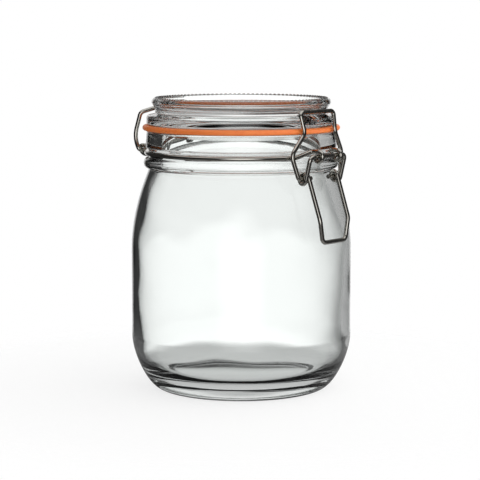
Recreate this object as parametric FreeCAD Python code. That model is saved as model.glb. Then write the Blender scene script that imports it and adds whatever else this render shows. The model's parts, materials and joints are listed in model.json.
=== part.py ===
import FreeCAD, Part
import math
import os

# Clear glass preserving jar with a hinged glass lid, a rubber sealing ring and a
# toggle closure bent from round steel wire. Millimetres, +Z up. The origin is the
# centre of the foot ring, on the surface that the jar stands on. The latch faces -Y
# and the hinge faces +Y, so the wires are mirror images about the plane X = 0.

# Jar, outside
JAR_HEIGHT = 124.4
BODY_RADIUS = 53.1
FOOT_INNER_RADIUS = 37.4
FOOT_OUTER_RADIUS = 39.5
BASE_CORNER_HEIGHT = 26.0
SHOULDER_RISE = 38.6
NECK_RADIUS = 44.5
BEAD_HEIGHT = 5.4
BEAD_BULGE = 2.6
GROOVE_HEIGHT = 3.3
FINISH_HEIGHT = 9.4
FINISH_STEP = 1.0
FINISH_TAPER = 0.6
EDGE_ROUND = 1.2

# Jar, inside
BORE_WALL = 6.9
BODY_WALL = 3.8
FLOOR_THICKNESS = 7.2
FLOOR_CROWN = 2.0
PUSH_UP = 4.6

# Rubber sealing ring
SEAL_OVERHANG = 2.0
SEAL_THICKNESS = 2.65
SEAL_GAP = 0.15

# Lid
PLUG_CLEARANCE = 0.1
PLUG_DEPTH = 6.1
PLUG_TAPER = 3.1
PLUG_RIM = 2.4
FLANGE_THICKNESS = 5.2
FLANGE_ROUND = 0.6
FLANGE_SLOPE = 1.4
WAIST_DEPTH = 4.5
RIM_DEPTH = 2.4
RIM_WIDTH = 2.7
LID_HEIGHT = 13.3
DISH_DEPTH = 4.4
LID_THICKNESS = 5.4

# Tongues of the lid: the front one carries the bail, the rear one the hinge wire
TONGUE_HALF_WIDTH = 8.4
TONGUE_LENGTH = 5.1
TONGUE_CORNER = 3.5
TONGUE_RISE = 1.0
TONGUE_UNDERCUT = 3.4
TONGUE_SLOPE_DEG = 26.0
LIP_HEIGHT = 2.2

# Wires
WIRE_DIAMETER = 2.1
PIN_CLEARANCE = 0.1
COLLAR_GAP = 0.1
COIL_GAP = 0.1
CROSSING_GAP = 0.4
BAIL_SEAT_GAP = 0.3
HINGE_SEAT_GAP = 0.05
HINGE_LIP_GAP = 0.15
EYE_OFFSET = 7.0
EYE_END_DEG = -150.0
EYE_TAIL = 0.5
COIL_OFFSET = 12.0
HINGE_EYE_OFFSET = 13.0
STEP_BEND = 0.72 * WIRE_DIAMETER
EAR_BEND = 0.6 * WIRE_DIAMETER
FRONT_BEND = 2.4 * WIRE_DIAMETER
EYE_BEND = 0.86 * WIRE_DIAMETER
LEVER_CORNER_BEND = 1.15 * WIRE_DIAMETER
KNEE_BEND = 3.3 * WIRE_DIAMETER
HANDLE_BEND = 1.25 * WIRE_DIAMETER
KNEE_HALF_WIDTH = 10.7
HANDLE_HALF_WIDTH = 8.6
BAIL_HALF_WIDTH = 12.6
BAIL_BENDS = [0.86 * WIRE_DIAMETER, 5.0, 5.0, 0.72 * WIRE_DIAMETER]
BAIL_PIN_END = 6.5
HINGE_BAR_HALF_WIDTH = 9.6
HINGE_BENDS = [1.4 * WIRE_DIAMETER, 1.25 * WIRE_DIAMETER, 12.0, 0.76 * WIRE_DIAMETER]
HINGE_PIN_END = 11.2

# Where the pivots and the handle's corners stand, from the finish, the body or one another
LEVER_PIVOT_OUT = 7.0
LEVER_PIVOT_RISE = 0.75
COIL_STATION = 0.85
COIL_INSET = 1.52
BAIL_PIVOT_DROP = 10.4
HINGE_PIVOT_OUT = 6.3
HINGE_PIVOT_DROP = 0.55
KNEE_OUT = 3.3
KNEE_DROP = 19.0
HANDLE_OUT = 3.2
HANDLE_LENGTH = 10.2

# Radii and heights that follow
FINISH_RADIUS = NECK_RADIUS + FINISH_STEP
FINISH_START = JAR_HEIGHT - FINISH_HEIGHT
BEAD_END = FINISH_START - GROOVE_HEIGHT
NECK_HEIGHT = BEAD_END - BEAD_HEIGHT
SHOULDER_START = NECK_HEIGHT - SHOULDER_RISE
BORE_RADIUS = FINISH_RADIUS - BORE_WALL
SEAL_RADIUS = FINISH_RADIUS + SEAL_OVERHANG
SEAL_BOTTOM = JAR_HEIGHT + SEAL_GAP
PLUG_RADIUS = BORE_RADIUS - PLUG_CLEARANCE
FLANGE_RADIUS = FINISH_RADIUS
FLANGE_BOTTOM = SEAL_BOTTOM + SEAL_THICKNESS
FLANGE_TOP = FLANGE_BOTTOM + FLANGE_THICKNESS
WAIST_RADIUS = FLANGE_RADIUS - WAIST_DEPTH
RIM_RADIUS = FLANGE_RADIUS - RIM_DEPTH
RIM_INNER_RADIUS = RIM_RADIUS - RIM_WIDTH
LID_TOP = FLANGE_BOTTOM + LID_HEIGHT
TONGUE_REACH = FLANGE_RADIUS + TONGUE_LENGTH
TONGUE_TOP = FLANGE_TOP + TONGUE_RISE
WIRE_RADIUS = WIRE_DIAMETER / 2
LOOP_RADIUS = WIRE_DIAMETER + PIN_CLEARANCE
COIL_PITCH = WIRE_DIAMETER + COIL_GAP
COLLAR_RADIUS = NECK_RADIUS + WIRE_RADIUS + COLLAR_GAP
COLLAR_HEIGHT = BEAD_END + GROOVE_HEIGHT / 2 + 0.5

# Shoulder, as the corners that its curve is drawn to: distance from the axis, and height
SHOULDER = [
    (BODY_RADIUS, SHOULDER_START),
    (BODY_RADIUS, SHOULDER_START + 0.42 * SHOULDER_RISE),
    (NECK_RADIUS + 2.6, NECK_HEIGHT - 0.17 * SHOULDER_RISE),
    (NECK_RADIUS, NECK_HEIGHT),
]
# Radius of the shoulder beside the lever's coils, at their station along its curve
SHOULDER_TOP_RADIUS = sum(
    math.comb(3, index) * COIL_STATION ** index * (1 - COIL_STATION) ** (3 - index) * corner[0]
    for index, corner in enumerate(SHOULDER)
)

# Pivots, as distance from the jar's axis and height
LEVER_PIVOT = (FINISH_RADIUS + LEVER_PIVOT_OUT, COLLAR_HEIGHT + LEVER_PIVOT_RISE)
BAIL_PIVOT = (
    SHOULDER_TOP_RADIUS + LOOP_RADIUS + WIRE_RADIUS - COIL_INSET,
    LEVER_PIVOT[1] - BAIL_PIVOT_DROP,
)
HINGE_PIVOT = (FINISH_RADIUS + HINGE_PIVOT_OUT, COLLAR_HEIGHT - HINGE_PIVOT_DROP)

# Corners of the lever's handle, as distance from the jar's axis and height
KNEE = (BODY_RADIUS + KNEE_OUT, BAIL_PIVOT[1] - KNEE_DROP)
HANDLE_END = (BODY_RADIUS + HANDLE_OUT, KNEE[1] - HANDLE_LENGTH)

# Bars of the bail and the hinge wire, and the corners of their legs, which also go across
BAIL_BAR_RADIUS = FLANGE_RADIUS + 0.3
BAIL_BAR_HEIGHT = TONGUE_TOP + WIRE_RADIUS + BAIL_SEAT_GAP
PINCH = (BAIL_HALF_WIDTH - 1.2, SEAL_RADIUS + 0.3, SEAL_BOTTOM + 0.55)
FLARE = (BAIL_HALF_WIDTH + 6.4, FINISH_RADIUS + 0.5, COLLAR_HEIGHT + 1.45)
HINGE_BAR_RADIUS = FLANGE_RADIUS + 1.9
HINGE_BAR_HEIGHT = TONGUE_TOP + WIRE_RADIUS - 0.4
HINGE_CORNER = (HINGE_BAR_HALF_WIDTH + 5.8, HINGE_BAR_RADIUS + 4.4, HINGE_BAR_HEIGHT - 2.15)
HINGE_BOW = (HINGE_CORNER[0] + 1.0, HINGE_PIVOT[0] + 3.4, HINGE_PIVOT[1] + 6.4)


def flat(r, z):
    """A point of a turned outline: distance from the axis, and height."""
    return FreeCAD.Vector(r, 0, z)


def front(t, r, z):
    """A point of the latch: across, out from the axis, and height."""
    return FreeCAD.Vector(t, -r, z)


def rear(t, r, z):
    """A point of the hinge: across, out from the axis, and height."""
    return FreeCAD.Vector(t, r, z)


def line(a, b):
    return Part.makeLine(a, b)


def arc(a, through, b):
    return Part.Arc(a, through, b).toShape()


def curve(*poles):
    """A Bezier edge, which leaves its ends along its first and last legs."""
    bezier = Part.BezierCurve()
    bezier.setPoles(list(poles))
    return bezier.toShape()


def quarter(a, b, centre):
    """A quarter turn that rounds the corner between a and b about a centre."""
    middle = (a + b) * 0.5 - centre
    radius = a.distanceToPoint(centre)
    return arc(a, centre + middle * (radius / middle.Length), b)


def turned(edges):
    """Turn a closed outline about the jar's axis."""
    face = Part.Face(Part.Wire(edges))
    return face.revolve(FreeCAD.Vector(0, 0, 0), FreeCAD.Vector(0, 0, 1), 360)


def chain(points):
    """Straight edges from point to point."""
    return [line(a, b) for a, b in zip(points, points[1:])]


def rounded_path(points, bends):
    """Straight runs joined by tangent arcs. A bend of None is as large as its runs allow."""
    edges = []
    start = points[0]
    for before, corner, after, bend in zip(points, points[1:], points[2:], bends):
        back = before - corner
        onward = after - corner
        shorter = min(back.Length, onward.Length)
        back.normalize()
        onward.normalize()
        half = math.acos(max(-1.0, min(1.0, back.dot(onward)))) / 2
        reach = shorter / 2 if bend is None else bend / math.tan(half)
        radius = reach * math.tan(half)
        inward = back + onward
        inward.normalize()
        bend_start = corner + back * reach
        bend_middle = corner + inward * (radius / math.sin(half) - radius)
        bend_end = corner + onward * reach
        if start.distanceToPoint(bend_start) > 0.001:
            edges.append(line(start, bend_start))
        edges.append(arc(bend_start, bend_middle, bend_end))
        start = bend_end
    edges.append(line(start, points[-1]))
    return Part.Wire(edges)


def wire_stretch(edge):
    """Round wire along one edge of a path: a cylinder on a run, a part of a torus on a bend."""
    start = edge.valueAt(edge.FirstParameter)
    heading = edge.tangentAt(edge.FirstParameter)
    section = Part.Face(Part.Wire(Part.makeCircle(WIRE_RADIUS, start, heading)))
    if edge.Curve.TypeId == "Part::GeomLine":
        return section.extrude(heading * edge.Length)
    turn = math.degrees(edge.Length / edge.Curve.Radius)
    return section.revolve(edge.Curve.Center, edge.Curve.Axis, turn)


def bent_wire(points, bends):
    """Round wire along a bent path, as one solid."""
    stretches = [wire_stretch(edge) for edge in rounded_path(points, bends).Edges]
    return stretches[0].multiFuse(stretches[1:]).removeSplitter()


def mirrored(half):
    """One solid of a half wire, which ends on the plane X = 0, and its mirror image."""
    other = half.mirror(FreeCAD.Vector(0, 0, 0), FreeCAD.Vector(1, 0, 0))
    return half.fuse(other).removeSplitter()


def loop(place, centre, start_deg, end_deg, start_t, end_t):
    """Corners of a loop about a pivot, which runs sideways from start_t to end_t."""
    count = math.ceil(abs(end_deg - start_deg) / 90)
    step = math.radians(end_deg - start_deg) / count
    reach = LOOP_RADIUS / math.cos(step / 2)
    corners = []
    for index in range(count):
        angle = math.radians(start_deg) + step * (index + 0.5)
        t = start_t + (end_t - start_t) * index / max(1, count - 1)
        corners.append(place(t, centre[0] + reach * math.cos(angle), centre[1] + reach * math.sin(angle)))
    return corners


def tangent_deg(point, centre, side):
    """Where a line from a point touches the loop about a centre; side is 1 or -1."""
    dr = point[0] - centre[0]
    dz = point[1] - centre[1]
    touch = math.acos(LOOP_RADIUS / math.hypot(dr, dz))
    return math.degrees(math.atan2(dz, dr) + side * touch)


def jar_outside():
    """Foot ring, rounded base corner, straight body, shoulder, neck bead, groove and finish."""
    foot_in = flat(FOOT_INNER_RADIUS, 0)
    foot_out = flat(FOOT_OUTER_RADIUS, 0)
    push_edge = flat(FOOT_INNER_RADIUS - 4.0, 1.6)
    overhang = BODY_RADIUS - FOOT_OUTER_RADIUS
    body_low = flat(BODY_RADIUS, BASE_CORNER_HEIGHT)
    body_high = flat(BODY_RADIUS, SHOULDER_START)
    neck = flat(NECK_RADIUS, NECK_HEIGHT)
    bead_top = flat(NECK_RADIUS, BEAD_END)
    bead_out = flat(NECK_RADIUS + BEAD_BULGE, (NECK_HEIGHT + BEAD_END) / 2)
    finish_low = flat(FINISH_RADIUS + FINISH_TAPER, FINISH_START + FINISH_STEP + FINISH_TAPER)
    finish_high = flat(FINISH_RADIUS, JAR_HEIGHT - EDGE_ROUND)
    land_out = flat(FINISH_RADIUS - EDGE_ROUND, JAR_HEIGHT)
    return [
        curve(flat(0, PUSH_UP), flat(push_edge.x * 0.6, PUSH_UP), push_edge),
        curve(push_edge, flat(FOOT_INNER_RADIUS - 1.8, 0.3), foot_in),
        line(foot_in, foot_out),
        curve(foot_out, flat(FOOT_OUTER_RADIUS + 0.4 * overhang, 0),
              flat(BODY_RADIUS, 0.62 * BASE_CORNER_HEIGHT), body_low),
        line(body_low, body_high),
        curve(*[flat(r, z) for r, z in SHOULDER]),
        arc(neck, bead_out, bead_top),
        line(bead_top, flat(NECK_RADIUS, FINISH_START)),
        line(flat(NECK_RADIUS, FINISH_START), finish_low),
        line(finish_low, finish_high),
        quarter(finish_high, land_out, flat(FINISH_RADIUS - EDGE_ROUND, JAR_HEIGHT - EDGE_ROUND)),
    ]


def jar_inside():
    """Sealing land, bore, inner shoulder, inner wall, inner corner and floor."""
    inner = BODY_RADIUS - BODY_WALL
    land_out = flat(FINISH_RADIUS - EDGE_ROUND, JAR_HEIGHT)
    land_in = flat(BORE_RADIUS + EDGE_ROUND, JAR_HEIGHT)
    bore_high = flat(BORE_RADIUS, JAR_HEIGHT - EDGE_ROUND)
    bore_low = flat(BORE_RADIUS, NECK_HEIGHT + 1.5)
    wall_high = flat(inner, SHOULDER_START)
    wall_low = flat(inner, BASE_CORNER_HEIGHT + 1)
    floor_edge = flat(FOOT_INNER_RADIUS - 2.4, FLOOR_THICKNESS)
    crown = FLOOR_THICKNESS + FLOOR_CROWN
    return [
        line(land_out, land_in),
        quarter(land_in, bore_high, flat(BORE_RADIUS + EDGE_ROUND, JAR_HEIGHT - EDGE_ROUND)),
        line(bore_high, bore_low),
        curve(bore_low, flat(BORE_RADIUS + 2.6, NECK_HEIGHT - 0.14 * SHOULDER_RISE),
              flat(inner, SHOULDER_START + 0.46 * SHOULDER_RISE), wall_high),
        line(wall_high, wall_low),
        curve(wall_low, flat(inner, FLOOR_THICKNESS + 7.3),
              flat(inner - 5, FLOOR_THICKNESS + 0.8), floor_edge),
        curve(floor_edge, flat(floor_edge.x * 0.6, crown), flat(0, crown)),
        line(flat(0, crown), flat(0, PUSH_UP)),
    ]


def jar():
    return turned(jar_outside() + jar_inside())


def seal():
    """A flat rubber ring on the step of the lid's plug, with a rounded outer edge."""
    low = SEAL_BOTTOM
    high = SEAL_BOTTOM + SEAL_THICKNESS
    round_start = SEAL_RADIUS - SEAL_THICKNESS / 2
    return turned([
        line(flat(PLUG_RADIUS, low), flat(round_start, low)),
        arc(flat(round_start, low), flat(SEAL_RADIUS, (low + high) / 2), flat(round_start, high)),
        line(flat(round_start, high), flat(PLUG_RADIUS, high)),
        line(flat(PLUG_RADIUS, high), flat(PLUG_RADIUS, low)),
    ])


def lid_disc():
    """Dished disc with a raised rim, a waist, a flange and a hollow plug below."""
    plug_bottom = FLANGE_BOTTOM - PLUG_DEPTH
    plug_out = PLUG_RADIUS - PLUG_TAPER
    plug_in = plug_out - PLUG_RIM
    dish = LID_TOP - DISH_DEPTH
    flange_low = flat(FLANGE_RADIUS - FLANGE_ROUND, FLANGE_BOTTOM)
    flange_side = flat(FLANGE_RADIUS, FLANGE_BOTTOM + FLANGE_ROUND)
    flange_high = flat(FLANGE_RADIUS, FLANGE_TOP - FLANGE_SLOPE - 0.4)
    flange_shoulder = flat(FLANGE_RADIUS - FLANGE_SLOPE, FLANGE_TOP - 0.4)
    waist = flat(WAIST_RADIUS, FLANGE_TOP + 0.3)
    rim_low = flat(RIM_RADIUS, LID_TOP - 2.9)
    rim_high = flat(RIM_RADIUS - 0.6, LID_TOP - 0.5)
    rim_top = flat(RIM_RADIUS - 1.4, LID_TOP)
    rim_in = flat(RIM_INNER_RADIUS, LID_TOP - 0.5)
    dish_edge = flat(RIM_INNER_RADIUS - 2.4, dish + 1.2)
    hollow_edge = flat(plug_in - 1.6, FLANGE_BOTTOM - 1.0)
    hollow_top = flat(0, dish - LID_THICKNESS)
    return turned([
        line(hollow_top, flat(0, dish)),
        curve(flat(0, dish), flat(dish_edge.x * 0.6, dish), dish_edge),
        curve(dish_edge, flat(RIM_INNER_RADIUS - 0.9, dish + 1.5), rim_in),
        arc(rim_in, flat(RIM_INNER_RADIUS + 0.5, LID_TOP - 0.1), rim_top),
        curve(rim_top, flat(RIM_RADIUS - 0.8, LID_TOP), rim_high),
        curve(rim_high, flat(RIM_RADIUS, LID_TOP - 1.2), rim_low),
        curve(rim_low, flat(WAIST_RADIUS + 0.2, (FLANGE_TOP + LID_TOP - 2.9) / 2), waist),
        line(waist, flange_shoulder),
        curve(flange_shoulder, flat(FLANGE_RADIUS, FLANGE_TOP - FLANGE_SLOPE / 2), flange_high),
        line(flange_high, flange_side),
        line(flange_side, flange_low),
        line(flange_low, flat(PLUG_RADIUS, FLANGE_BOTTOM)),
        line(flat(PLUG_RADIUS, FLANGE_BOTTOM), flat(PLUG_RADIUS, SEAL_BOTTOM + 0.3)),
        curve(flat(PLUG_RADIUS, SEAL_BOTTOM + 0.3), flat(PLUG_RADIUS - 1.9, SEAL_BOTTOM - 1.4),
              flat(plug_out, plug_bottom)),
        line(flat(plug_out, plug_bottom), flat(plug_in, plug_bottom)),
        curve(flat(plug_in, plug_bottom), flat(plug_in - 0.8, FLANGE_BOTTOM - 3.0), hollow_edge),
        curve(hollow_edge, flat(plug_in - 7, hollow_top.z), hollow_top),
    ])


def tongue(place, outline):
    """A side outline across the lid's edge, rounded in plan at its two outer corners."""
    half = TONGUE_HALF_WIDTH
    points = [place(-half, r, z) for r, z in outline]
    side = Part.Face(Part.Wire(chain(points + points[:1])))
    block = side.extrude(FreeCAD.Vector(2 * half, 0, 0))
    reach = max(r for r, z in outline)
    low = min(z for r, z in outline)
    high = max(z for r, z in outline)
    plan_points = [
        place(-half, WAIST_RADIUS - 4, low - 1),
        place(-half, reach, low - 1),
        place(half, reach, low - 1),
        place(half, WAIST_RADIUS - 4, low - 1),
    ]
    plan = rounded_path(plan_points, [TONGUE_CORNER, TONGUE_CORNER])
    closed = Part.Wire(plan.Edges + [line(plan_points[-1], plan_points[0])])
    return block.common(Part.Face(closed).extrude(FreeCAD.Vector(0, 0, high - low + 2)))


def front_tongue():
    """Its top falls away outward, so that the bail's bar slides off it."""
    root = WAIST_RADIUS - 1
    low = FLANGE_TOP - TONGUE_UNDERCUT
    top_edge = BAIL_BAR_RADIUS - 0.9
    drop = math.tan(math.radians(TONGUE_SLOPE_DEG))
    nose = TONGUE_TOP - (TONGUE_REACH - top_edge) * drop
    return tongue(front, [
        (root, low),
        (root, TONGUE_TOP),
        (top_edge, TONGUE_TOP),
        (TONGUE_REACH - 0.9, nose + 0.9 * drop),
        (TONGUE_REACH, nose - 0.6),
        (TONGUE_REACH - 0.2, low + 0.4),
        (TONGUE_REACH - 1.2, low),
    ])


def rear_tongue():
    """Its hooked lip holds the hinge wire's bar against the lid."""
    root = WAIST_RADIUS - 1
    low = FLANGE_TOP - TONGUE_UNDERCUT
    seat = HINGE_BAR_HEIGHT - WIRE_RADIUS - HINGE_SEAT_GAP
    lip_in = HINGE_BAR_RADIUS + WIRE_RADIUS + HINGE_LIP_GAP
    return tongue(rear, [
        (root, low),
        (root, seat),
        (lip_in - 0.5, seat),
        (lip_in, seat + 0.5),
        (lip_in + 0.1, seat + LIP_HEIGHT - 0.5),
        (lip_in + 0.7, seat + LIP_HEIGHT),
        (TONGUE_REACH - 0.6, seat + LIP_HEIGHT - 0.4),
        (TONGUE_REACH, seat + LIP_HEIGHT - 1.4),
        (TONGUE_REACH - 0.2, low + 0.4),
        (TONGUE_REACH - 1.2, low),
    ])


def lid():
    return lid_disc().fuse(front_tongue()).fuse(rear_tongue()).removeSplitter()


def lever():
    """Cross-bar in the collar's eyes, arms, a one-turn coil on each side, and the handle."""
    arm_t = -(COIL_OFFSET + COIL_PITCH / 2)
    leg_t = -(COIL_OFFSET - COIL_PITCH / 2)
    arrive = tangent_deg(LEVER_PIVOT, BAIL_PIVOT, -1)
    leave = tangent_deg(KNEE, BAIL_PIVOT, 1) - 360
    coil = loop(front, BAIL_PIVOT, arrive, leave, arm_t, leg_t)
    points = [front(0, *LEVER_PIVOT), front(arm_t, *LEVER_PIVOT)]
    points += coil
    points += [
        front(-KNEE_HALF_WIDTH, *KNEE),
        front(-HANDLE_HALF_WIDTH, *HANDLE_END),
        front(0, *HANDLE_END),
    ]
    bends = [LEVER_CORNER_BEND] + [None] * len(coil) + [KNEE_BEND, HANDLE_BEND]
    return mirrored(bent_wire(points, bends))


def bail():
    """Bar over the front tongue, pinched and flared legs, and pins through the coils."""
    leg_t = COIL_OFFSET + COIL_PITCH / 2 + WIRE_DIAMETER + CROSSING_GAP
    points = [
        front(0, BAIL_BAR_RADIUS, BAIL_BAR_HEIGHT),
        front(-BAIL_HALF_WIDTH, BAIL_BAR_RADIUS, BAIL_BAR_HEIGHT),
        front(-PINCH[0], PINCH[1], PINCH[2]),
        front(-FLARE[0], FLARE[1], FLARE[2]),
        front(-leg_t, *BAIL_PIVOT),
        front(-BAIL_PIN_END, *BAIL_PIVOT),
    ]
    return mirrored(bent_wire(points, BAIL_BENDS))


def collar():
    """Neck wire in the groove, with an open eye at each front end and an ear at each rear side."""
    height = COLLAR_HEIGHT
    ear_in = -(HINGE_EYE_OFFSET - COIL_PITCH / 2)
    ear_out = -(HINGE_EYE_OFFSET + COIL_PITCH / 2)
    ear = loop(rear, HINGE_PIVOT, -90, 90, ear_in, ear_out)
    low = HINGE_PIVOT[1] - LOOP_RADIUS
    high = HINGE_PIVOT[1] + LOOP_RADIUS
    rear_point = (ear_out - 0.9, COLLAR_RADIUS + 1.6)
    front_point = (-14.0, COLLAR_RADIUS - 1.25)
    eye_top = LEVER_PIVOT[1] + LOOP_RADIUS
    eye = loop(front, LEVER_PIVOT, 90, EYE_END_DEG, -EYE_OFFSET, -EYE_OFFSET)
    rear_angle = touch_angle(rear_point)
    front_angle = touch_angle(front_point)
    side = (math.pi - rear_angle - front_angle) / 2
    middle = front_angle + side
    reach = COLLAR_RADIUS / math.cos(side)
    points = [
        rear(0, COLLAR_RADIUS, height),
        rear(ear_in, COLLAR_RADIUS + 0.4, height),
        rear(ear_in, HINGE_PIVOT[0] - 1.18 * LOOP_RADIUS, low),
    ]
    points += ear
    points += [
        rear(ear_out, HINGE_PIVOT[0] - LOOP_RADIUS, high),
        rear(rear_point[0], rear_point[1], height),
        front(-reach * math.sin(middle), reach * math.cos(middle), height),
        front(front_point[0], front_point[1], height),
        front(-EYE_OFFSET, COLLAR_RADIUS + 3.0, eye_top),
    ]
    points += eye
    end_angle = math.radians(EYE_END_DEG)
    points.append(front(-EYE_OFFSET,
                        LEVER_PIVOT[0] + LOOP_RADIUS * math.cos(end_angle) + EYE_TAIL * math.sin(end_angle),
                        LEVER_PIVOT[1] + LOOP_RADIUS * math.sin(end_angle) - EYE_TAIL * math.cos(end_angle)))
    bends = [STEP_BEND, STEP_BEND] + [None] * len(ear)
    bends += [EAR_BEND, EAR_BEND, COLLAR_RADIUS, FRONT_BEND, EYE_BEND] + [None] * len(eye)
    return mirrored(bent_wire(points, bends))


def touch_angle(point):
    """Angle from the middle plane at which a line from (t, r) touches the groove's circle."""
    away = math.hypot(point[0], point[1])
    return math.atan2(-point[0], point[1]) + math.acos(COLLAR_RADIUS / away)


def hinge_wire():
    """Bar behind the rear tongue's lip, bowed legs, and pins through the collar's ears."""
    leg_t = HINGE_EYE_OFFSET + COIL_PITCH / 2 + WIRE_DIAMETER + CROSSING_GAP
    points = [
        rear(0, HINGE_BAR_RADIUS, HINGE_BAR_HEIGHT),
        rear(-HINGE_BAR_HALF_WIDTH, HINGE_BAR_RADIUS, HINGE_BAR_HEIGHT),
        rear(-HINGE_CORNER[0], HINGE_CORNER[1], HINGE_CORNER[2]),
        rear(-HINGE_BOW[0], HINGE_BOW[1], HINGE_BOW[2]),
        rear(-leg_t, *HINGE_PIVOT),
        rear(-HINGE_PIN_END, *HINGE_PIVOT),
    ]
    return mirrored(bent_wire(points, HINGE_BENDS))


PARTS = {
    "jar": jar,
    "lid": lid,
    "seal": seal,
    "collar": collar,
    "lever": lever,
    "bail": bail,
    "hinge_wire": hinge_wire,
}

os.makedirs("parts", exist_ok=True)
for name, make in PARTS.items():
    shape = make()
    shape.exportStep(f"parts/{name}.step")
    print(name, len(shape.Solids), shape.isValid(), round(shape.Volume, 1))
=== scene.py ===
"""Looks of a clear glass preserving jar: glass lid, rubber sealing ring and bent-wire closure."""

import json
import logging
import math
from dataclasses import dataclass
from enum import Enum
from typing import Callable, Optional, Sequence, Union

import bpy
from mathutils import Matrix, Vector

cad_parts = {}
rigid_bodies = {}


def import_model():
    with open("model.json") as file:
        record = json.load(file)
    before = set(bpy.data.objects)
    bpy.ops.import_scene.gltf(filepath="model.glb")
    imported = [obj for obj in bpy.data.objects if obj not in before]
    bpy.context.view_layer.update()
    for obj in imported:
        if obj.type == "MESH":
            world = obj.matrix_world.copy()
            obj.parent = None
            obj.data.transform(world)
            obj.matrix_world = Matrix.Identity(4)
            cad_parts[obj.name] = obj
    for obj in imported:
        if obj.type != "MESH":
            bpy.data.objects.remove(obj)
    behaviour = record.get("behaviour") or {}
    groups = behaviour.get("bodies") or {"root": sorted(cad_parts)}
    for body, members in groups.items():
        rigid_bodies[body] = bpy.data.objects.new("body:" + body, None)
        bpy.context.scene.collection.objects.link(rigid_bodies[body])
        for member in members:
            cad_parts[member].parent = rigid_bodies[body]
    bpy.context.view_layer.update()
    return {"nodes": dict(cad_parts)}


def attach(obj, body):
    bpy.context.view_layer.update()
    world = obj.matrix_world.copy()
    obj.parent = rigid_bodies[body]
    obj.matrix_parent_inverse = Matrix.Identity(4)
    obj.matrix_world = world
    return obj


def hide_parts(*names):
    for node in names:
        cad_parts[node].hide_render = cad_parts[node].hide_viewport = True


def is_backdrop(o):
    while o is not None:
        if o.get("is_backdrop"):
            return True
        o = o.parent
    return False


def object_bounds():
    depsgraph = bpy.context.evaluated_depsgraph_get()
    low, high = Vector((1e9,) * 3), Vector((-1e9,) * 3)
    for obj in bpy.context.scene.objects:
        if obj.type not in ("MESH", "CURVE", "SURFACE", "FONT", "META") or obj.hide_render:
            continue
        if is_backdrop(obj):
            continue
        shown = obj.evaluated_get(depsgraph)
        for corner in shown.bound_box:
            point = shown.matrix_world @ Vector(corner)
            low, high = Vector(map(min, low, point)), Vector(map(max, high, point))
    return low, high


LOG = logging.getLogger("jar")
MM = 0.001

# The sRGB curve: end and slope of its toe, offset and power of the rest
SRGB_TOE = 0.04045
SRGB_SLOPE = 12.92
SRGB_OFFSET = 0.055
SRGB_POWER = 2.4

# Rounding of corners: most of an edge that it takes, its steps, and the least turn that is
# rounded, on a whole section and on a small feature
ROUND_SHARE = 0.45
ROUND_STEPS = 5
SHARP_DEG = 18.0
SHARP_SMALL_DEG = 10.0

Point = tuple[float, float]
Point3 = tuple[float, float, float]
Colour = tuple[float, float, float, float]
Tree = bpy.types.NodeTree
Node = bpy.types.Node
Socket = bpy.types.NodeSocket
Value = Union[float, Socket]

WHITE: Colour = (1.0, 1.0, 1.0, 1.0)


def linear(code: str) -> Colour:
    """Turn an sRGB hex colour into linear colour.

    Args:
        code: Six hex digits, with or without a leading hash.

    Returns:
        Red, green, blue and an alpha of 1.
    """
    digits = code.lstrip("#")
    parts = [int(digits[i:i + 2], 16) / 255 for i in (0, 2, 4)]
    red, green, blue = [
        c / SRGB_SLOPE if c <= SRGB_TOE else ((c + SRGB_OFFSET) / (1 + SRGB_OFFSET)) ** SRGB_POWER
        for c in parts
    ]
    return red, green, blue, 1.0


# ---------------------------------------- shader nodes


def add_node(
    tree: Tree,
    kind: str,
    settings: Optional[dict] = None,
    inputs: Optional[dict] = None,
) -> Node:
    """Add a node to a tree with its settings, values and links.

    Args:
        tree: The node tree.
        kind: Blender's name of the node type.
        settings: Values for the node's own properties.
        inputs: Socket name or number to a plain value, or to an output socket to link from.

    Returns:
        The new node.
    """
    node = tree.nodes.new(kind)
    for name, value in (settings or {}).items():
        setattr(node, name, value)
    for name, value in (inputs or {}).items():
        if isinstance(value, Socket):
            tree.links.new(value, node.inputs[name])
        else:
            node.inputs[name].default_value = value
    return node


def new_material(name: str) -> tuple[bpy.types.Material, Tree, Node]:
    """Start a node material with only its output.

    Args:
        name: What the material is.

    Returns:
        The material, its node tree and its output node.
    """
    material = bpy.data.materials.new(name)
    material.use_nodes = True
    tree = material.node_tree
    tree.nodes.clear()
    return material, tree, add_node(tree, "ShaderNodeOutputMaterial")


def noise(tree: Tree, size_mm: float, detail: float) -> Socket:
    """Soft noise that is fixed to the piece.

    Args:
        tree: The node tree.
        size_mm: Size of its coarsest blobs.
        detail: Octaves of finer blobs.

    Returns:
        The noise, about 0.5.
    """
    place = add_node(tree, "ShaderNodeTexCoord")
    return add_node(tree, "ShaderNodeTexNoise", inputs={
        "Vector": place.outputs["Object"], "Scale": 1 / (size_mm * MM), "Detail": detail,
    }).outputs["Fac"]


def bumped(tree: Tree, height: Socket, depth_mm: float, strength: float) -> Socket:
    """Normal of a surface with a low relief.

    Args:
        tree: The node tree.
        height: The relief, from 0 to 1.
        depth_mm: Depth of the whole relief.
        strength: Share of it that shows.

    Returns:
        The bent normal.
    """
    return add_node(tree, "ShaderNodeBump", inputs={
        "Strength": strength, "Distance": depth_mm * MM, "Height": height,
    }).outputs["Normal"]


def maths(tree: Tree, operation: str, *values: Value) -> Socket:
    """Work out one number from others.

    Args:
        tree: The node tree.
        operation: Blender's name of the operation.
        values: Numbers or sockets, in the operation's order.

    Returns:
        The result.
    """
    settings = {"operation": operation}
    return add_node(tree, "ShaderNodeMath", settings, dict(enumerate(values))).outputs[0]


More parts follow.
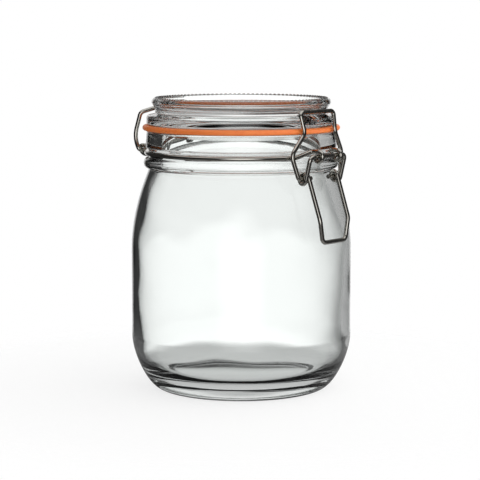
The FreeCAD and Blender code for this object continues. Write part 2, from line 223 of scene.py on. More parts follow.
def mix(tree: Tree, factor: Value, a: Value, b: Value) -> Socket:
    """Mix two numbers.

    Args:
        tree: The node tree.
        factor: Share of the second number.
        a: The first number.
        b: The second number.

    Returns:
        The mixed number.
    """
    return add_node(tree, "ShaderNodeMix", inputs={"Factor": factor, "A": a, "B": b}).outputs[0]


def mix_shader(tree: Tree, factor: Value, a: Node, b: Node) -> Node:
    """Mix two shaders.

    Args:
        tree: The node tree.
        factor: Share of the second shader.
        a: Node of the first shader.
        b: Node of the second shader.

    Returns:
        The mixing node.
    """
    return add_node(tree, "ShaderNodeMixShader", inputs={0: factor, 1: a.outputs[0], 2: b.outputs[0]})


def ramp(tree: Tree, value: Socket, span: Point, levels: Point) -> Socket:
    """Smooth step of a value.

    Args:
        tree: The node tree.
        value: What is stepped.
        span: Values at which the step starts and ends.
        levels: Results before and after the step.

    Returns:
        The stepped result.
    """
    return add_node(tree, "ShaderNodeMapRange", {"interpolation_type": "SMOOTHSTEP"}, {
        "Value": value, "From Min": span[0], "From Max": span[1],
        "To Min": levels[0], "To Max": levels[1],
    }).outputs[0]


# ---------------------------------------- finishes


@dataclass(frozen=True)
class SodaLimeGlass:
    """Pressed and blown soda-lime glass, fire polished: clear, with a faint grey-green body."""

    name: str
    colour: str = "FBFDFC"
    ior: float = 1.52
    tint: str = "E6ECEC"
    density: float = 1.8
    ripple_mm: float = 9.0
    ripple_detail: float = 1.5
    ripple_height_mm: float = 0.02

    def material(self) -> bpy.types.Material:
        """Build the glass: a smooth refracting surface with the slow ripple of a mould."""
        material, tree, output = new_material(self.name)
        ripple = noise(tree, self.ripple_mm, self.ripple_detail)
        surface = add_node(tree, "ShaderNodeBsdfPrincipled", inputs={
            "Base Color": linear(self.colour), "Roughness": 0.0, "IOR": self.ior,
            "Transmission Weight": 1.0, "Normal": bumped(tree, ripple, self.ripple_height_mm, 1.0)})
        body = add_node(tree, "ShaderNodeVolumeAbsorption", inputs={
            "Color": linear(self.tint), "Density": self.density})
        tree.links.new(surface.outputs[0], output.inputs["Surface"])
        tree.links.new(body.outputs[0], output.inputs["Volume"])
        return material


@dataclass(frozen=True)
class NaturalRubber:
    """Moulded natural rubber: soft satin, a little translucent, with fine talc in its skin."""

    name: str
    colour: str = "F48A42"
    deep_colour: str = "E47230"
    roughness: float = 0.42
    ior: float = 1.52
    glow: float = 0.15
    glow_mm: float = 1.0
    mottle_mm: float = 2.5
    mottle_detail: float = 3.0
    grain_mm: float = 0.25
    grain_detail: float = 2.0
    grain_height_mm: float = 0.05
    grain_strength: float = 0.3

    def material(self) -> bpy.types.Material:
        """Build the rubber: mottled orange under a satin skin."""
        material, tree, output = new_material(self.name)
        colour = add_node(tree, "ShaderNodeMix", {"data_type": "RGBA"}, {
            "Factor": noise(tree, self.mottle_mm, self.mottle_detail),
            "A": linear(self.deep_colour), "B": linear(self.colour)})
        grain = noise(tree, self.grain_mm, self.grain_detail)
        surface = add_node(tree, "ShaderNodeBsdfPrincipled", inputs={
            "Base Color": colour.outputs["Result"], "Roughness": self.roughness, "IOR": self.ior,
            "Subsurface Weight": self.glow, "Subsurface Scale": self.glow_mm * MM,
            "Normal": bumped(tree, grain, self.grain_height_mm, self.grain_strength)})
        tree.links.new(surface.outputs[0], output.inputs["Surface"])
        return material


@dataclass(frozen=True)
class DrawnSteelWire:
    """Bright drawn steel wire: hard reflections, broken by fine die marks and dull handled spots."""

    name: str
    colour: str = "B9B6AF"
    roughness: float = 0.10
    worn_roughness: float = 0.16
    patch_mm: float = 3.0
    patch_detail: float = 3.0
    patch_span: Point = (0.35, 0.7)
    mark_mm: float = 0.3
    mark_detail: float = 2.0
    mark_height_mm: float = 0.003
    mark_strength: float = 0.2

    def material(self) -> bpy.types.Material:
        """Build the steel: metal whose gloss changes in patches, with fine marks as bump."""
        material, tree, output = new_material(self.name)
        gloss = add_node(tree, "ShaderNodeMapRange", inputs={
            "Value": noise(tree, self.patch_mm, self.patch_detail),
            "From Min": self.patch_span[0], "From Max": self.patch_span[1],
            "To Min": self.roughness, "To Max": self.worn_roughness})
        marks = noise(tree, self.mark_mm, self.mark_detail)
        surface = add_node(tree, "ShaderNodeBsdfPrincipled", inputs={
            "Base Color": linear(self.colour), "Metallic": 1.0, "Roughness": gloss.outputs["Result"],
            "Normal": bumped(tree, marks, self.mark_height_mm, self.mark_strength)})
        tree.links.new(surface.outputs[0], output.inputs["Surface"])
        return material


class Slot(Enum):
    """Names of the glass and rubber material slots; nothing in this script uses them."""

    GLASS = "glass"
    RUBBER = "rubber"


# ---------------------------------------- mesh making


def beside(place: Point, offset: Point) -> Point:
    """A point of an outline set off from another.

    Args:
        place: Distance from the axis and height of the other point.
        offset: How far out and up the point stands from it.

    Returns:
        The point.
    """
    return place[0] + offset[0], place[1] + offset[1]


def upright(radius: float, start: float, rise: float, steps: int) -> list[Point]:
    """Points along a straight upright wall, after its first.

    Args:
        radius: The wall's distance from the axis.
        start: Height at which it starts.
        rise: How far it goes up, or down where negative.
        steps: How many points to give.

    Returns:
        The points, ending on the wall's end.
    """
    return [(radius, start + rise * step / steps) for step in range(1, steps + 1)]


def bezier(poles: Sequence[Point], steps: int) -> list[Point]:
    """Points along a Bezier curve, after its first pole.

    Args:
        poles: Two to four corners that the curve is drawn to.
        steps: How many points to give.

    Returns:
        The points, ending on the last pole.
    """
    points = []
    for step in range(1, steps + 1):
        share = step / steps
        level = list(poles)
        while len(level) > 1:
            level = [((1 - share) * a[0] + share * b[0], (1 - share) * a[1] + share * b[1])
                     for a, b in zip(level, level[1:])]
        points.append(level[0])
    return points


def arc_through(a: Point, middle: Point, b: Point, steps: int) -> list[Point]:
    """Points along the arc from a through middle to b, after a.

    Args:
        a: Start of the arc.
        middle: A point that it passes through.
        b: End of the arc.
        steps: How many points to give.

    Returns:
        The points, ending on b.
    """
    ax, ay = a
    bx, by = middle
    cx, cy = b
    area = 2 * (ax * (by - cy) + bx * (cy - ay) + cx * (ay - by))
    aa, bb, cc = ax * ax + ay * ay, bx * bx + by * by, cx * cx + cy * cy
    ox = (aa * (by - cy) + bb * (cy - ay) + cc * (ay - by)) / area
    oy = (aa * (cx - bx) + bb * (ax - cx) + cc * (bx - ax)) / area
    radius = math.hypot(ax - ox, ay - oy)
    start, through, end = (math.atan2(y - oy, x - ox) for x, y in (a, middle, b))
    sweep = (end - start) % math.tau
    if (through - start) % math.tau > sweep:
        sweep -= math.tau
    turns = [start + sweep * i / steps for i in range(1, steps + 1)]
    return [(ox + radius * math.cos(turn), oy + radius * math.sin(turn)) for turn in turns]


def softened(points: Sequence[Point], size: float, sharp_deg: float = SHARP_DEG) -> list[Point]:
    """Round the sharp corners of an open outline.

    Args:
        points: The outline.
        size: How far from a corner its rounding starts.
        sharp_deg: Corners that turn by less than this stay.

    Returns:
        The outline with a short curve in place of each sharp corner.
    """
    out = [points[0]]
    for before, corner, after in zip(points, points[1:], points[2:]):
        back = (before[0] - corner[0], before[1] - corner[1])
        onward = (after[0] - corner[0], after[1] - corner[1])
        back_length, onward_length = math.hypot(*back), math.hypot(*onward)
        turn = abs(math.atan2(back[0] * onward[1] - back[1] * onward[0],
                              -(back[0] * onward[0] + back[1] * onward[1])))
        if math.degrees(turn) < sharp_deg:
            out.append(corner)
            continue
        first = min(size, ROUND_SHARE * back_length) / back_length
        second = min(size, ROUND_SHARE * onward_length) / onward_length
        start = (corner[0] + back[0] * first, corner[1] + back[1] * first)
        end = (corner[0] + onward[0] * second, corner[1] + onward[1] * second)
        out.append(start)
        out.extend(bezier([start, corner, end], ROUND_STEPS))
    out.append(points[-1])
    return out


def spaced(points: Sequence[Sequence[float]], count: int) -> list[tuple[float, ...]]:
    """Resample a line of points at equal steps along it.

    Args:
        points: The line, in two or three dimensions.
        count: How many points to give, ends included.

    Returns:
        The new points.
    """
    lengths = [0.0]
    for a, b in zip(points, points[1:]):
        lengths.append(lengths[-1] + math.dist(a, b))
    out = []
    piece = 0
    for index in range(count):
        target = lengths[-1] * index / (count - 1)
        while piece < len(points) - 2 and lengths[piece + 1] < target:
            piece += 1
        run = lengths[piece + 1] - lengths[piece]
        share = (target - lengths[piece]) / run if run > 0 else 0.0
        out.append(tuple(a + (b - a) * share for a, b in zip(points[piece], points[piece + 1])))
    return out


def mesh_from_columns(
    name: str, columns: Sequence[Sequence[Point3]], ring: bool,
) -> bpy.types.Object:
    """Make a closed turned mesh from columns of points, each column one step round the axis.

    Args:
        name: The piece's name.
        columns: Columns of points in millimetres, all with as many points.
        ring: True if each column closes on itself; False if its two ends lie on the axis.

    Returns:
        The new object, smooth shaded, in metres.
    """
    strips = columns if ring else [column[1:-1] for column in columns]
    count, depth = len(strips), len(strips[0])
    vertices = [tuple(c * MM for c in point) for strip in strips for point in strip]
    faces = []
    for i in range(count):
        here, there = i * depth, (i + 1) % count * depth
        faces += [(here + j, there + j, there + (j + 1) % depth, here + (j + 1) % depth)
                  for j in range(depth if ring else depth - 1)]
    if not ring:
        first = len(vertices)
        vertices += [tuple(c * MM for c in columns[0][end]) for end in (0, -1)]
        starts = [(i * depth, (i + 1) % count * depth) for i in range(count)]
        faces += [(first, there, here) for here, there in starts]
        faces += [(first + 1, here + depth - 1, there + depth - 1) for here, there in starts]
    mesh = bpy.data.meshes.new(name)
    mesh.from_pydata(vertices, [], faces)
    mesh.validate()
    mesh.polygons.foreach_set("use_smooth", [True] * len(mesh.polygons))
    piece = bpy.data.objects.new(name, mesh)
    bpy.context.scene.collection.objects.link(piece)
    return piece


def turned(
    name: str,
    outline: Sequence[Point],
    segments: int,
    ring: bool,
    shift: Optional[Callable[[float, float, float, int], Point]] = None,
) -> bpy.types.Object:
    """Turn an outline about the jar's axis.

    Args:
        name: The piece's name.
        outline: Distance from the axis and height of each point, in millimetres.
        segments: Steps round the axis.
        ring: True if the outline closes on itself.
        shift: Gives a new radius and height from radius, height, angle and place in the outline.

    Returns:
        The new object.
    """
    columns = []
    for step in range(segments):
        angle = math.tau * step / segments
        column = []
        for index, (r, z) in enumerate(outline):
            if shift and r > 0:
                r, z = shift(r, z, angle, index)
            column.append((r * math.cos(angle), r * math.sin(angle), z))
        columns.append(column)
    return mesh_from_columns(name, columns, ring)


# ---------------------------------------- sub-assemblies


@dataclass
class JarBody:
    """The blown jar: foot ring, push-up base, straight body, shoulder, bead, wire groove, finish.

    Sizes are in millimetres. A pair is how far out and up a curve's corner stands from the
    place that it belongs to, and a pull or share is a share of a curve's own height or reach.
    """

    glass: SodaLimeGlass
    height: float = 124.4
    body_radius: float = 53.1
    foot_inner: float = 37.4
    foot_outer: float = 39.5
    base_corner: float = 26.0
    shoulder_start: float = 67.7
    neck_radius: float = 44.5
    neck_height: float = 106.3
    bead_height: float = 5.4
    bead_bulge: float = 2.6
    groove_height: float = 3.3
    finish_radius: float = 45.5
    finish_taper: float = 0.6
    edge_round: float = 1.2
    corner_round: float = 0.5
    bore_radius: float = 38.6
    bore_past_neck: float = 1.5
    wall: float = 3.8
    floor: float = 7.2
    floor_crown: float = 2.0
    floor_edge_in: float = 2.4
    push_up: float = 4.6
    push_edge: Point = (-4.0, 1.6)
    foot_pole: Point = (-1.8, 0.3)
    dome_share: float = 0.6
    heel_out: float = 5.5
    heel_height: float = 16.0
    shoulder_pull: float = 0.42
    neck_pull: float = 0.17
    neck_flare: float = 2.6
    inner_shoulder_pull: float = 0.46
    inner_neck_pull: float = 0.14
    inner_corner_rise: float = 1.0
    inner_heel_height: float = 14.5
    inner_heel: Point = (-5.0, 0.8)
    segments: int = 320
    base_steps: int = 18
    edge_steps: int = 6
    wall_steps: int = 6
    heel_steps: int = 28
    inner_heel_steps: int = 24
    shoulder_steps: int = 32
    bead_steps: int = 16
    wander: float = 0.16
    wander_neck_fade: float = 20.0
    wander_centre_fade: float = 30.0
    # Waves of the wall: height, number round the jar, twist per millimetre up, start
    waves: tuple[tuple[float, float, float, float], ...] = (
        (1.0, 2, 0.05, 0.0), (0.6, 5, -0.11, 1.3), (0.35, 9, 0.23, 0.4))

    def outside(self) -> list[Point]:
        """Outline from the middle of the base out and up to the sealing land."""
        rise = self.neck_height - self.shoulder_start
        bead_top = self.neck_height + self.bead_height
        finish_start = bead_top + self.groove_height
        push_edge = beside((self.foot_inner, 0.0), self.push_edge)
        points: list[Point] = [(0.0, self.push_up)]
        points += bezier([points[-1], (push_edge[0] * self.dome_share, self.push_up), push_edge],
                         self.base_steps)
        points += bezier([points[-1], beside((self.foot_inner, 0.0), self.foot_pole),
                          (self.foot_inner, 0.0)], self.edge_steps)
        points += [(self.foot_outer, 0.0)]
        points += bezier([points[-1], (self.foot_outer + self.heel_out, 0.0),
                          (self.body_radius, self.heel_height),
                          (self.body_radius, self.base_corner)], self.heel_steps)
        points += upright(self.body_radius, self.base_corner,
                          self.shoulder_start - self.base_corner, self.wall_steps)
        points += bezier([points[-1],
                          (self.body_radius, self.shoulder_start + self.shoulder_pull * rise),
                          (self.neck_radius + self.neck_flare,
                           self.neck_height - self.neck_pull * rise),
                          (self.neck_radius, self.neck_height)], self.shoulder_steps)
        points += arc_through(points[-1], (self.neck_radius + self.bead_bulge,
                                           self.neck_height + self.bead_height / 2),
                              (self.neck_radius, bead_top), self.bead_steps)
        points += [(self.neck_radius, finish_start),
                   (self.finish_radius + self.finish_taper,
                    finish_start + self.finish_radius - self.neck_radius + self.finish_taper),
                   (self.finish_radius, self.height - self.edge_round)]
        points += bezier([points[-1], (self.finish_radius, self.height),
                          (self.finish_radius - self.edge_round, self.height)], self.edge_steps)
        return softened(points, self.corner_round)

    def inside(self) -> list[Point]:
        """Outline from the sealing land down the bore to the middle of the floor."""
        rise = self.neck_height - self.shoulder_start
        inner = self.body_radius - self.wall
        floor_edge = (self.foot_inner - self.floor_edge_in, self.floor)
        crown = self.floor + self.floor_crown
        points: list[Point] = [(self.bore_radius + self.edge_round, self.height)]
        points += bezier([points[-1], (self.bore_radius, self.height),
                          (self.bore_radius, self.height - self.edge_round)], self.edge_steps)
        points += [(self.bore_radius, self.neck_height + self.bore_past_neck)]
        points += bezier([points[-1],
                          (self.bore_radius + self.neck_flare,
                           self.neck_height - self.inner_neck_pull * rise),
                          (inner, self.shoulder_start + self.inner_shoulder_pull * rise),
                          (inner, self.shoulder_start)], self.shoulder_steps)
        drop = self.shoulder_start - self.base_corner - self.inner_corner_rise
        points += upright(inner, self.shoulder_start, -drop, self.wall_steps)
        points += bezier([points[-1], (inner, self.inner_heel_height),
                          beside((inner, self.floor), self.inner_heel), floor_edge],
                         self.inner_heel_steps)
        points += bezier([points[-1], (floor_edge[0] * self.dome_share, crown), (0.0, crown)],
                         self.base_steps)
        return softened(points, self.corner_round)

    def build(self) -> bpy.types.Object:
        """Turn the outline; the blown inside runs a little uneven."""
        outside = self.outside()
        first_inner = len(outside)

        def uneven(r: float, z: float, angle: float, index: int) -> Point:
            """Let the blown inner wall wander below the bore."""
            if index < first_inner or z > self.neck_height:
                return r, z
            fade = (min(1.0, (self.neck_height - z) / self.wander_neck_fade)
                    * min(1.0, r / self.wander_centre_fade))
            wave = sum(size * math.sin(count * angle + twist * z + start)
                       for size, count, twist, start in self.waves)
            return r + self.wander * fade * wave, z

        piece = turned("jar_glass", outside + self.inside(), self.segments, False, uneven)
        piece.data.materials.append(self.glass.material())
        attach(piece, "jar")
        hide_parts("jar")
        return piece


@dataclass
class SealingRing:
    """The flat rubber ring on the step of the lid's plug, sizes in millimetres."""

    rubber: NaturalRubber
    inner: float = 38.5
    outer: float = 47.5
    low: float = 124.55
    thickness: float = 2.65
    air: float = 0.06
    corner_round: float = 0.3
    edge_steps: int = 12
    segments: int = 240

    def build(self) -> bpy.types.Object:
        """Turn the ring with its round outer edge, a breath of air away from the lid's glass."""
        high = self.low + self.thickness - self.air
        inner = self.inner + self.air
        start = self.outer - self.thickness / 2
        points: list[Point] = [(inner, self.low), (start, self.low)]
        points += arc_through(points[-1], (self.outer, self.low + self.thickness / 2),
                              (start, high), self.edge_steps)
        points += [(inner, high)]
        points = points[:1] + softened(points, self.corner_round)[1:]
        piece = turned("rubber_ring", points, self.segments, True)
        piece.data.materials.append(self.rubber.material())
        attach(piece, "lid")
        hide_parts("seal")
        return piece


@dataclass
class Tongue:
    """A tongue on the lid's edge, as its side outline out from the axis and its plan, in mm."""

    outline: list[Point]
    half_width: float = 8.4
    reach: float = 50.6
    corner: float = 3.5
    draft: float = 0.25
    edge: float = 0.6
    lower_edge: float = 1.0
    flat_steps: int = 16
    corner_steps: int = 14

    def limit(self, t: float) -> float:
        """How far out the plan reaches.

        Args:
            t: Distance from the tongue's middle.

        Returns:
            Distance from the lid's axis.
        """
        beyond = abs(t) - (self.half_width - self.corner)
        if beyond <= 0:
            return self.reach
        return self.reach - self.corner + math.sqrt(max(0.0, self.corner ** 2 - beyond ** 2))

    def stations(self) -> list[float]:
        """Distances from the middle at which the tongue has a column of points."""
        start = self.half_width - self.corner
        flat = [start * i / self.flat_steps for i in range(self.flat_steps)]
        curved = [start + self.corner * math.sin(math.pi / 2 * i / self.corner_steps)
                  for i in range(self.corner_steps + 1)]
        right = sorted(set(flat + curved))
        return [-t for t in reversed(right) if t > 0] + right

    def clipped(self, t: float) -> list[Point]:
        """The side outline, cut where the plan ends and lower at the rounded sides.

        Args:
            t: Distance from the tongue's middle.

        Returns:
            The outline's points there.
        """
        limit = self.limit(t)
        past = max(0.0, abs(t) - self.half_width + self.edge)
        inset = self.edge - math.sqrt(max(0.0, self.edge ** 2 - past ** 2))
        low = min(z for _, z in self.outline) + inset
        points: list[Point] = []
        for a, b in zip(self.outline, self.outline[1:]):
            if a[0] <= limit:
                points.append(a)
            if (a[0] - limit) * (b[0] - limit) < 0:
                share = (limit - a[0]) / (b[0] - a[0])
                points.append((limit, a[1] + (b[1] - a[1]) * share))
        points.append(self.outline[-1])
        return [(r, max(low, z - (inset if z > low + self.lower_edge else 0.0))) for r, z in points]


@dataclass
class GlassLid:
    """The pressed lid: dished top, beaded rim, waist, flange, hollow plug and two tongues.

    Sizes are in millimetres. A pair is how far out and up a curve's corner stands from the
    place that it belongs to.
    """

    glass: SodaLimeGlass
    flange_bottom: float = 127.2
    flange_top: float = 132.4
    flange_radius: float = 45.5
    flange_edge: float = 0.6
    flange_edge_drop: float = 1.8
    flange_pole: Point = (0.0, -0.7)
    flange_turn: Point = (-1.4, -0.4)
    waist_radius: float = 41.0
    waist_foot: float = 0.3
    waist_flare: float = 0.05
    waist_pole: Point = (0.3, 2.9)
    rim_radius: float = 43.1
    rim_inner: float = 40.4
    rim_start: float = 5.2
    rim_pole: Point = (0.0, -1.0)
    rim_turn: Point = (-0.6, -0.4)
    top: float = 140.5
    crest_drop: float = 0.55
    crest_pole: Point = (-0.8, 0.0)
    crest_start: Point = (-1.4, 0.0)
    crest_middle: Point = (0.5, -0.1)
    crest_end: Point = (0.0, -0.5)
    dish_depth: float = 4.4
    dish_pole: Point = (-0.9, 1.5)
    dish_edge: Point = (-2.4, 1.2)
    dish_share: float = 0.6
    thickness: float = 5.4
    hollow_flat_in: float = 7.0
    hollow_edge: Point = (-1.6, -1.0)
    hollow_pole: Point = (-0.8, -3.0)
    plug_radius: float = 38.5
    plug_depth: float = 6.1
    plug_taper: float = 3.1
    plug_rim: float = 2.4
    plug_pole: Point = (-1.9, -1.4)
    seal_bottom: float = 124.55
    seal_step: float = 0.3
    plug_round: float = 0.4
    side_round: float = 0.5
    tongue_low: float = 129.0
    tongue_top: float = 133.4
    tongue_root: float = 0.6
    tongue_seam: float = 0.03
    toe: tuple[Point, ...] = ((-1.2, 0.0), (-0.2, 0.4))
    front_slope_deg: float = 26.0
    front_edge: float = 44.9
    front_nose: float = 0.6
    front_nose_in: float = 0.9
    front_round: float = 0.6
    hook_seat: float = 132.95
    hook_inner: float = 48.6
    hook_height: float = 2.2
    # Corners beside the hook's outer top, its inner top and the foot of its inner side
    hook_outside: tuple[Point, ...] = ((0.0, -1.4), (-0.6, -0.4))
    hook_top: tuple[Point, ...] = ((0.7, 0.0), (0.1, -0.5))
    hook_foot: tuple[Point, ...] = ((0.0, 0.5), (-0.5, 0.0))
    hook_round: float = 0.5
    bead_count: int = 113
    bead_ring: float = 40.95
    bead_radius: float = 0.95
    bead_depth: float = 0.8
    bead_step: float = 0.16
    bead_zone: float = 1.5
    bead_columns: int = 8
    tongue_columns: int = 54
    section: int = 44
    dish_steps: int = 20
    curve_steps: int = 8
    waist_steps: int = 12
    edge_steps: int = 6
    dish_side_steps: int = 10

    def underside(self) -> list[Point]:
        """Outline from the middle of the hollow plug out to the flange's side."""
        plug_bottom = self.flange_bottom - self.plug_depth
        plug_out = self.plug_radius - self.plug_taper
        plug_in = plug_out - self.plug_rim
        hollow_top = self.top - self.dish_depth - self.thickness
        wall_top = (plug_in, self.flange_bottom)
        points: list[Point] = [(0.0, hollow_top)]
        points += bezier([points[-1], (plug_in - self.hollow_flat_in, hollow_top),
                          beside(wall_top, self.hollow_edge)], self.dish_steps)
        points += bezier([points[-1], beside(wall_top, self.hollow_pole), (plug_in, plug_bottom)],
                         self.curve_steps)
        points += [(plug_out, plug_bottom)]
        points += bezier([points[-1], beside((self.plug_radius, self.seal_bottom), self.plug_pole),
                          (self.plug_radius, self.seal_bottom + self.seal_step)],
                         self.curve_steps)
        points += [(self.plug_radius, self.flange_bottom),
                   (self.flange_radius - self.flange_edge, self.flange_bottom),
                   (self.flange_radius, self.flange_bottom + self.flange_edge),
                   (self.flange_radius, self.tongue_low)]
        return softened(points, self.plug_round)

    def side(self) -> list[Point]:
        """Outline from the flange's side over its shoulder and in to the waist."""
        corner = (self.flange_radius, self.flange_top)
        points: list[Point] = [(self.flange_radius, self.tongue_low),
                               (self.flange_radius, self.flange_top - self.flange_edge_drop)]
        points += bezier([points[-1], beside(corner, self.flange_pole),
                          beside(corner, self.flange_turn)], self.curve_steps)
        points += [(self.waist_radius, self.flange_top + self.waist_foot),
                   (self.waist_radius + self.waist_flare, self.tongue_top)]
        return softened(points, self.side_round)

    def crown(self) -> list[Point]:
        """Outline from the waist up over the rim and in to the middle of the dish."""
        dish = self.top - self.dish_depth
        dish_edge = beside((self.rim_inner, dish), self.dish_edge)
        outer_top = (self.rim_radius, self.top - self.crest_drop)
        inner_top = (self.rim_inner, self.top)
        points: list[Point] = [(self.waist_radius + self.waist_flare, self.tongue_top)]
        points += bezier([points[-1],
                          beside((self.waist_radius, self.flange_top), self.waist_pole),
                          (self.rim_radius, self.flange_top + self.rim_start)], self.waist_steps)
        points += bezier([points[-1], beside(outer_top, self.rim_pole),
                          beside(outer_top, self.rim_turn)], self.edge_steps)
        points += bezier([points[-1], beside(outer_top, self.crest_pole),
                          beside(outer_top, self.crest_start)], self.edge_steps)
        points += arc_through(points[-1], beside(inner_top, self.crest_middle),
                              beside(inner_top, self.crest_end), self.curve_steps)
        points += bezier([points[-1], beside((self.rim_inner, dish), self.dish_pole), dish_edge],
                         self.dish_side_steps)
        points += bezier([points[-1], (dish_edge[0] * self.dish_share, dish), (0.0, dish)],
                         self.dish_steps)
        fine: list[Point] = []
        for a, b in zip(points[1:], points[2:]):
            on_rim = min(a[1], b[1]) > self.top - self.bead_zone
            steps = math.ceil(math.dist(a, b) / self.bead_step) if on_rim else 1
            fine += [(a[0] + (b[0] - a[0]) * i / steps, a[1] + (b[1] - a[1]) * i / steps)
                     for i in range(steps)]
        return fine + points[-1:]

    def beaded(self, r: float, z: float, angle: float) -> float:
        """Sink the glass between the round beads.

        Args:
            r: Distance of a point of the crown from the axis.
            z: Its height on the plain crown.
            angle: Its angle about the axis.

        Returns:
            Its height with the beads.
        """
        out = r - self.bead_ring
        if abs(out) >= self.bead_radius or z < self.top - self.bead_zone:
            return z
        turn = angle * self.bead_count / math.tau
        along = (turn - round(turn)) * math.tau * self.bead_ring / self.bead_count
        inside = 1 - (out ** 2 + along ** 2) / self.bead_radius ** 2
        sink = self.bead_depth * (1 - (out / self.bead_radius) ** 2)
        return z - sink * (1 - math.sqrt(max(0.0, inside)))

    def toe_points(self) -> list[Point]:
        """The lower edge that both tongues start with, from the flange out to the reach."""
        corner = (Tongue.reach, self.tongue_low)
        return [(self.flange_radius, self.tongue_low)] + [beside(corner, by) for by in self.toe]

    def front_tongue(self) -> Tongue:
        """Its top falls away outward, so that the bail's bar slides off it."""
        reach, drop = Tongue.reach, math.tan(math.radians(self.front_slope_deg))
        nose = self.tongue_top - (reach - self.front_edge) * drop
        outline = self.toe_points() + [
            (reach, nose - self.front_nose),
            (reach - self.front_nose_in, nose + self.front_nose_in * drop),
            (self.front_edge, self.tongue_top),
            (self.waist_radius + self.tongue_root, self.tongue_top)]
        return Tongue(softened(outline, self.front_round, SHARP_SMALL_DEG))

    def rear_tongue(self) -> Tongue:
        """Its hooked lip holds the hinge wire's bar against the lid."""
        top = self.hook_seat + self.hook_height
        outline = self.toe_points()
        for place, corners in (((Tongue.reach, top), self.hook_outside),
                               ((self.hook_inner, top), self.hook_top),
                               ((self.hook_inner, self.hook_seat), self.hook_foot)):
            outline += [beside(place, by) for by in corners]
        outline.append((self.waist_radius + self.tongue_root, self.hook_seat))
        return Tongue(softened(outline, self.hook_round, SHARP_SMALL_DEG))

    def plan(self) -> list[tuple[float, Optional[Tongue], float]]:
        """Angle of each column of points, the tongue that it lies on and its place there."""
        plan: list[tuple[float, Optional[Tongue], float]] = []
        steps = self.bead_count * self.bead_columns // 2 - self.tongue_columns
        for middle, tongue in ((-math.pi / 2, self.front_tongue()),
                               (math.pi / 2, self.rear_tongue())):
            edge = math.asin((tongue.half_width + tongue.draft) / self.flange_radius)
            plan.append((middle - edge, None, 0.0))
            for t in tongue.stations():
                plan.append((middle + math.asin(t / self.flange_radius), tongue, t))
            plan.append((middle + edge, None, 0.0))
            for step in range(1, steps):
                plan.append((middle + edge + (math.pi - 2 * edge) * step / steps, None, 0.0))
        return plan

    def columns(self) -> list[list[Point3]]:
        """Columns of points round the lid, with the tongues at the front and the rear."""
        underside, crown = self.underside(), self.crown()
        plain = spaced(self.side(), self.section)
        columns = []
        for angle, tongue, t in self.plan():
            cos, sin = math.cos(angle), math.sin(angle)
            column = [(r * cos, r * sin, z) for r, z in underside[:-1]]
            if tongue is None:
                column += [(r * cos, r * sin, z) for r, z in plain]
            else:
                column += self.tongue_column(tongue, t, angle)
            column += [(r * cos, r * sin, self.beaded(r, z, angle)) for r, z in crown]
            columns.append(column)
        return columns

    def tongue_column(self, tongue: Tongue, t: float, angle: float) -> list[Point3]:
        """Points of one column from the flange's side round a tongue to the waist.

        Args:
            tongue: The tongue.
            t: Distance from its middle.
            angle: The column's angle about the lid's axis.

        Returns:
            As many points as a plain column has there.
        """
        side = 1 if math.sin(angle) > 0 else -1
        cos, sin = math.cos(angle), math.sin(angle)
        x = self.flange_radius * cos
        path: list[Point3] = [(x, self.flange_radius * sin, self.tongue_low)]
        section = tongue.clipped(t)
        for r, z in section[1:]:
            path.append((x * min(1.0, r / self.flange_radius), side * r, z))
        waist = self.waist_radius + self.tongue_seam
        path.append((waist * cos, waist * sin, section[-1][1]))
        return spaced(path, self.section)

    def build(self) -> bpy.types.Object:
        """Make the lid as one closed mesh."""
        piece = mesh_from_columns("lid_glass", self.columns(), False)
        piece.data.materials.append(self.glass.material())
        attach(piece, "lid")
        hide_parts("lid")
        return piece


@dataclass
class WireClosure:
    """The bent wires: neck collar, lever, bail and hinge wire."""

    steel: DrawnSteelWire
    nodes: dict
    names: tuple[str, ...] = ("collar", "lever", "bail", "hinge_wire")

    def dress(self) -> None:
        """Give each wire its steel."""
        material = self.steel.material()
        for name in self.names:
            wire = self.nodes[name]
            wire.data.materials.clear()
            wire.data.materials.append(material)


# ---------------------------------------- studio


@dataclass(frozen=True)
class Way:
    """Parts of a ray's direction: along the camera's level line of sight, to its right, and up."""

    along: Socket
    across: Socket
    up: Socket


